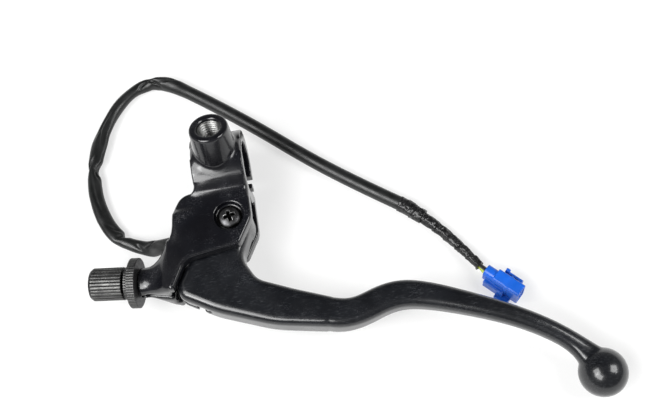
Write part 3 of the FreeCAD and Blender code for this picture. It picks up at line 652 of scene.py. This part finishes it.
def wrapped_section(radius, end_radius, length, seed):
    """The outline of tape wound on in overlapping, wrinkled turns."""

    def section(distance, angle):
        base = radius + (end_radius - radius) * smooth_step(distance, 0, length)
        turn = (distance / TAPE_LAP - angle / (2 * math.pi)) % 1.0
        step = TAPE_STEP * (1 - turn) * smooth_step(turn, 0.0, 0.06)
        spot = Vector((math.cos(angle) * 1.6, math.sin(angle) * 1.6, distance / MM * 0.42 + seed))
        wrinkle = WRINKLE_HEIGHT * noise.noise(spot * 1.1)
        crinkle = CRINKLE_DEPTH * abs(noise.noise(spot * 1.6))
        crinkle += FINE_CRINKLE_DEPTH * abs(noise.noise(spot * 4.1))
        r = base - TAPE_TIGHTNESS + step + wrinkle - crinkle
        return r * math.cos(angle), r * math.sin(angle)

    return section


SLEEVE_SPACING = 0.55 * MM
TAPE_SPACING = 0.22 * MM
SLEEVE_SIDES = 56
BUNDLE_SIDES = 48
COLLAR_OVERLAP = 2.5 * MM    # how far back on the sleeve the tape collar starts
COLLAR_THICKNESS = 0.25 * MM
COLLAR_END_R = 3.15 * MM
BUNDLE_START_R = 2.5 * MM
BUNDLE_END_R = 1.9 * MM


def make_cords(material):
    """The sleeve with its tape collar, and the taped bundle."""
    line = route_line(SLEEVE_ROUTE)
    sleeve = sweep("sleeve", line, SLEEVE_SPACING, SLEEVE_SIDES, sleeve_section)
    paint(sleeve, material["sleeve"])
    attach(sleeve, "perch")
    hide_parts("harness_sleeve")

    sleeve_end = SLEEVE_ROUTE[-1]
    ahead = (sleeve_end - SLEEVE_ROUTE[-2]).normalized()
    collar_line = route_line([sleeve_end - ahead * COLLAR_OVERLAP, sleeve_end, BUNDLE_ROUTE[0]])
    collar_section = wrapped_section(SLEEVE_D / 2 + COLLAR_THICKNESS, COLLAR_END_R,
                                     line_length(collar_line), 4.0)
    collar = sweep("tape_wrap", collar_line, TAPE_SPACING, SLEEVE_SIDES, collar_section)
    paint(collar, material["tape"])
    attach(collar, "perch")
    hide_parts("tape_collar")

    bundle_line = route_line(BUNDLE_ROUTE)
    bundle_section = wrapped_section(BUNDLE_START_R, BUNDLE_END_R, line_length(bundle_line), 21.0)
    bundle = sweep("bundle", bundle_line, TAPE_SPACING, BUNDLE_SIDES, bundle_section)
    paint(bundle, material["tape"])
    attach(bundle, "perch")
    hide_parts("taped_bundle")
    return bundle, bundle_line


# ---- stage --------------------------------------------------------------------------
FLOOR_REACH = 6              # metres from the middle to each side
FLOOR_GLOW = 0.6             # lifts the paper to the white of an overexposed background


def add_stage():
    """A plain sheet of pale paper, partly lit by itself."""
    corners = [(-1, -1), (1, -1), (1, 1), (-1, 1)]
    floor = mesh_piece("floor", [(x * FLOOR_REACH, y * FLOOR_REACH, FLOOR_Z) for x, y in corners],
                       [(0, 1, 2, 3)])
    paper = Finish("paper", (0.38, 0.38, 0.377), 0.75)
    paper.blend_colour(paper.ramp(paper.noise(12, 2.0), 0.3, 0.7), (0.365, 0.367, 0.365))
    paper.shader.inputs["Emission Color"].default_value = (1, 1, 1, 1)
    paper.shader.inputs["Emission Strength"].default_value = FLOOR_GLOW
    paint(floor, paper.material)


def soft_box(name, place, target, width, height, radiance):
    """A rectangular light whose brightness is given as seen, whatever its size."""
    data = bpy.data.lights.new(name, "AREA")
    data.shape = "RECTANGLE"
    data.size = width
    data.size_y = height
    data.energy = radiance * math.pi * width * height
    lamp = bpy.data.objects.new(name, data)
    lamp.location = place
    lamp.rotation_euler = (Vector(target) - Vector(place)).to_track_quat("-Z", "Y").to_euler()
    bpy.context.scene.collection.objects.link(lamp)


# where the upper faces mirror the room: kept dark, as a studio ceiling is
DARK_SKY = (-0.02, 0.36, 0.93)


SKY_DARK_STRENGTH = 0.05
SKY_STRENGTH = 0.2
LIT_POINT = (0.04, -0.03, 0)


def add_lights():
    """Three soft boxes and a dim room."""
    soft_box("box_left", (-0.54, -0.165, 0.80), LIT_POINT, 0.5, 0.5, 8)
    soft_box("box_right", (0.74, -0.14, 0.71), LIT_POINT, 0.5, 0.5, 8)
    soft_box("box_front", (-0.44, -0.55, 0.74), LIT_POINT, 0.6, 0.42, 9)
    world = bpy.data.worlds.new("studio")
    bpy.context.scene.world = world
    world.use_nodes = True
    tree = world.node_tree
    sky = tree.nodes["Background"]
    direction = tree.nodes.new("ShaderNodeTexCoord").outputs["Generated"]
    nearness = tree.nodes.new("ShaderNodeVectorMath")
    nearness.operation = "DOT_PRODUCT"
    nearness.inputs[1].default_value = DARK_SKY
    shade = tree.nodes.new("ShaderNodeMapRange")
    tree.links.new(direction, nearness.inputs[0])
    tree.links.new(nearness.outputs["Value"], shade.inputs["Value"])
    shade.inputs["From Min"].default_value = 0.55
    shade.inputs["From Max"].default_value = 0.9
    shade.inputs["To Min"].default_value = SKY_STRENGTH
    shade.inputs["To Max"].default_value = SKY_DARK_STRENGTH
    tree.links.new(shade.outputs["Result"], sky.inputs["Strength"])
    sky.inputs["Color"].default_value = (1, 1, 1, 1)


# ---- castings and fittings ----------------------------------------------------------
BOSS_TOP = mm(0, 7.4, 26.7)
BOSS_AXIS = Vector((0, math.sin(math.radians(18)), math.cos(math.radians(18))))
PIVOT = mm(2.0, -25.2, 0)
BAR_R = 11.1 * MM

# what machined() keeps crisp, as radii round the bar, the mirror hole and the pivot
BORE_REACH = BAR_R + 0.9 * MM
HOLE_REACH = 6.2 * MM
RECESS_REACH = 7 * MM
CRISP_WEIGHT = 0.35

# the reshaping of the perch's left side, in millimetres
CROWN_BEND = 0.007           # how much the ring falls, for each squared millimetre from its middle
EAR_FALL = 2.2
SHOULDER_OUT = 3.0


def distance_from(points, place, axis):
    """Distance of each point from a line."""
    offset = points - np.array(place)
    axis = np.array(axis)
    return np.linalg.norm(offset - np.outer(offset @ axis, axis), axis=1)


def machined(points):
    """Small where the perch is drilled, bored or turned, so that those edges stay crisp."""
    bore = np.hypot(points[:, 1], points[:, 2]) < BORE_REACH
    hole = distance_from(points, BOSS_TOP, BOSS_AXIS) < HOLE_REACH
    hole &= points[:, 2] > 10 * MM
    recess = np.hypot(points[:, 0] - PIVOT.x, points[:, 1] - PIVOT.y) < RECESS_REACH
    recess &= points[:, 2] > 5 * MM
    return np.where(bore | hole | recess, CRISP_WEIGHT, 1.0)


def cast_corners(points):
    """Up to 1 in the inner corners where the ring meets the ears and the boss and on the neck,
    0 elsewhere."""
    x, y, z = points.T / MM
    valley = (np.abs(x) < 12.5) & (y > -17.5) & (y < -9.5) & (z > 6) & (z < 13)
    from_boss = distance_from(points, BOSS_TOP, BOSS_AXIS) / MM
    foot = (from_boss > 7.6) & (from_boss < 11.5) & (z > 7) & (z < 16.5)
    neck = (x < -25.5) & (x > -37.5) & (y < -31)
    return np.where(valley | foot | neck, 1.0, 0.0) * machined(points)


def fall_away(piece):
    """The cast forms on the left: the ring's crown, the ears' fall to the neck, their shoulder."""
    mesh = piece.data
    points = np.zeros(len(mesh.vertices) * 3)
    mesh.vertices.foreach_get("co", points)
    points = points.reshape(-1, 3)
    x, y, z = points.T / MM
    over_ring = smooth_step(y, -21, -17) * smooth_step(z, 5, 8)
    over_ring *= smooth_step(distance_from(points, BOSS_TOP, BOSS_AXIS) / MM, 9.6, 11.5)
    crown = CROWN_BEND * np.clip(-x, 0, None) ** 2 * over_ring
    slope = EAR_FALL * smooth_step(-x, 15, 30) * smooth_step(z, 0, 8) * smooth_step(-y, 22, 34)
    shoulder = SHOULDER_OUT * smooth_step(-x, 5, 14)
    shoulder *= smooth_step(-y, 9, 14.5) * smooth_step(y, -29, -16)
    points[:, 2] -= (crown + slope) * MM
    points[:, 0] -= shoulder * MM
    mesh.vertices.foreach_set("co", points.ravel())
    mesh.update()


def make_castings(material):
    """The perch and the lever, with cast, rounded edges."""
    perch = softened("perch_body", "perch_casting", 0.42, 5, machined)
    fall_away(perch)
    relax(perch, 50, cast_corners)
    paint(perch, material["perch"])
    lever = softened("lever", "lever_casting", 0.45, 6)
    paint(lever, material["lever"])


def make_fittings(material):
    """The small parts whose edges show: slightly rounded, with rubbed crests."""
    bolt = softened("pivot_bolt", "pivot_screw", 0.17, 1)
    paint(bolt, material["pivot"])
    ring = softened("lock_ring", "knurled_lock_ring", 0.16, 2)
    paint(ring, material["ring"])
    barrel = softened("adjuster_barrel", "knurled_barrel", 0.17, 2)
    paint(barrel, material["barrel"])
    plug = softened("connector_housing", "blue_connector", 0.16, 3)
    paint(plug, material["blue"])
    return plug


THREAD_PITCH = 1.25 * MM
THREAD_OUTER_R = 4.96 * MM
THREAD_DEPTH = 0.62 * MM
THREAD_TOP = 1.1 * MM        # how far below the boss's top the first turn starts
THREAD_LENGTH = 12.4 * MM
THREAD_ROWS = 12             # rows of points for each turn
THREAD_SIDES = 72
THREAD_WALL = 0.02 * MM      # the liner's thickness at the bottom of the thread


def make_mirror_thread(material):
    """The bare metal thread cut in the mirror boss, as a thin helical liner."""
    sides = THREAD_SIDES
    across = Vector((1, 0, 0))
    other = BOSS_AXIS.cross(across)
    steps = round(THREAD_LENGTH / (THREAD_PITCH / THREAD_ROWS))
    points = []
    for i in range(steps + 1):
        depth = THREAD_LENGTH * i / steps
        for k in range(sides):
            turn = k / sides
            phase = (depth / THREAD_PITCH + turn) % 1.0
            ridge = 1 - abs(2 * phase - 1)
            radius = THREAD_OUTER_R - THREAD_WALL - THREAD_DEPTH * ridge
            angle = 2 * math.pi * turn
            spoke = across * math.cos(angle) + other * math.sin(angle)
            points.append(BOSS_TOP - BOSS_AXIS * (THREAD_TOP + depth) + spoke * radius)
    outer = len(points)
    for i in (0, steps):
        depth = THREAD_LENGTH * i / steps
        for k in range(sides):
            angle = 2 * math.pi * k / sides
            spoke = across * math.cos(angle) + other * math.sin(angle)
            points.append(BOSS_TOP - BOSS_AXIS * (THREAD_TOP + depth) + spoke * THREAD_OUTER_R)
    rows = [[i * sides + k for k in range(sides)] for i in range(steps + 1)]
    rows += [[outer + sides + k for k in range(sides)], [outer + k for k in range(sides)]]
    rows.append(rows[0])
    faces = []
    for one, two in zip(rows, rows[1:]):
        for k in range(sides):
            after = (k + 1) % sides
            faces.append((one[k], two[k], two[after], one[after]))
    thread = mesh_piece("mirror_thread", points, faces)
    paint(thread, material["bare"])
    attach(thread, "perch")


# ---- build --------------------------------------------------------------------------
NODE_FINISH = {
    "pinch_bolt": "zinc", "pinch_washer": "zinc", "pivot_bush": "brass", "pivot_nut": "zinc",
    "cable_seat": "nylon", "switch_housing": "switch", "switch_lid": "switch",
    "switch_plunger": "nylon", "plunger_spring": "spring", "contact_bridge": "brass",
    "switch_contacts": "brass", "switch_screw": "zinc", "cable_boot": "boot",
    "wire_leads": "wires", "wire_seals": "seal", "connector_terminals": "brass",
}


def main():
    material = make_materials()
    add_camera()
    bundle, bundle_line = make_cords(material)
    make_castings(material)
    plug = make_fittings(material)
    make_mirror_thread(material)
    for node, finish in NODE_FINISH.items():
        paint(frame["nodes"][node], material[finish])
    add_stage()
    add_lights()
    bpy.context.scene.view_settings.view_transform = "Standard"


main()
